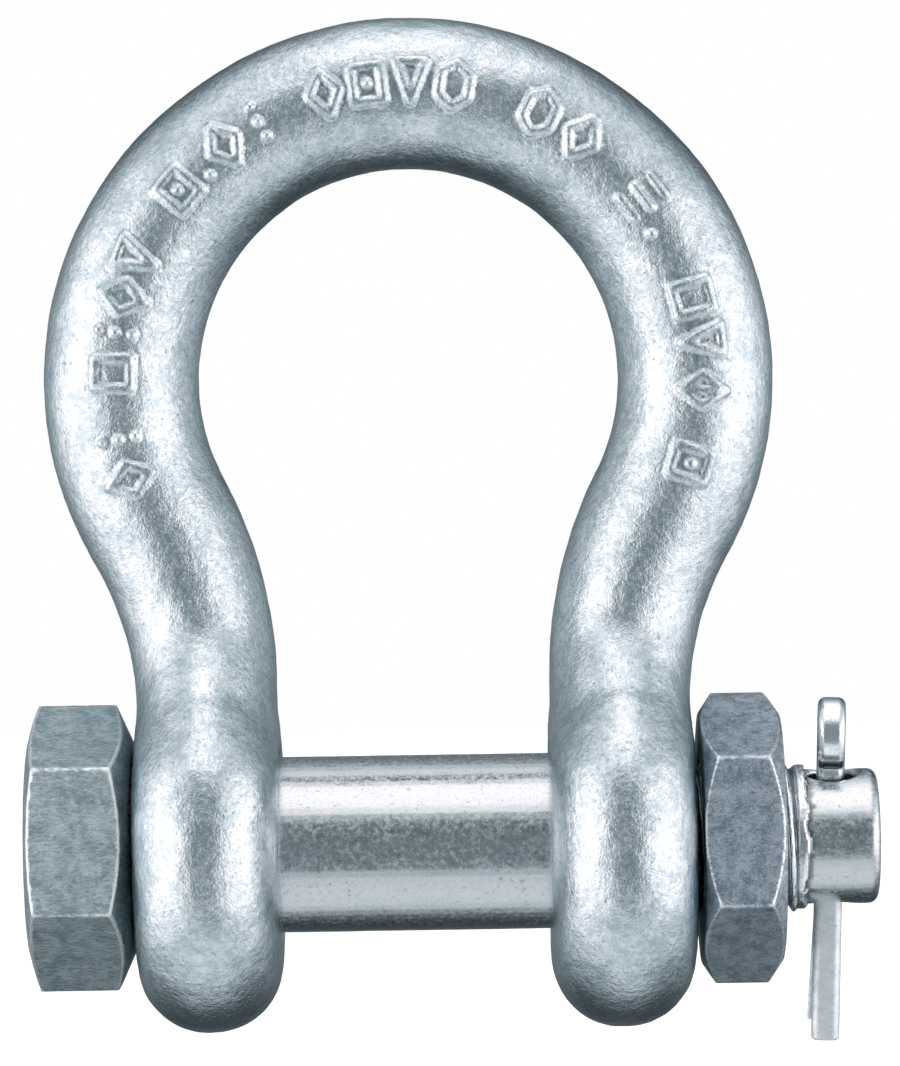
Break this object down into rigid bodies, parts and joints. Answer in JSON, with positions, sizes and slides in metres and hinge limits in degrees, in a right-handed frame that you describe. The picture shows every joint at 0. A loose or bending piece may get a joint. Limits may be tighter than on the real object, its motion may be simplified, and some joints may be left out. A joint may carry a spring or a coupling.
{
  "type": "bow shackle",
  "caption": "Forged galvanised bow shackle: a round bow with two eared legs closed by a hexagon-headed bolt, a nut and a split pin.",
  "frame": {"origin": "on the bolt's axis, midway between the two ears", "axes": "+X along the bolt from its head to its nut, +Z from the bolt to the bow's crown, +Y across the bow"},
  "size_m": [0.138, 0.0606, 0.169],
  "materials": {
    "bow": "hot-dip galvanised forging, light grey, finely mottled",
    "bolt": "galvanised, dull blue-grey with streaks and worn pale edges",
    "nut": "galvanised, dull blue-grey with worn pale edges",
    "split_pin": "bright zinc-plated drawn wire"
  },
  "bodies": {
    "bow": {"bow": "bow"},
    "bolt": {"bolt": "bolt"},
    "nut": {"nut": "nut"},
    "split_pin": {"split_pin": "split_pin"}
  },
  "joints": [
    {"name": "bolt_turn", "type": "hinge", "parent": "bow", "child": "bolt", "pos_m": [0, 0, 0], "axis": [-1, 0, 0], "range_deg": [-85, 425]},
    {"name": "nut_travel", "type": "slide", "parent": "bow", "child": "nut", "axis": [1, 0, 0], "range_m": [-0.00076, 0.00376]},
    {"name": "split_pin_pull", "type": "slide", "parent": "bolt", "child": "split_pin", "axis": [0.0236, -0.1736, 0.9845], "range_m": [0, 0.05]}
  ],
  "couplings": [
    {"joint": "nut_travel", "follows": "bolt_turn", "m_per_rad": 0.00050532}
  ]
}
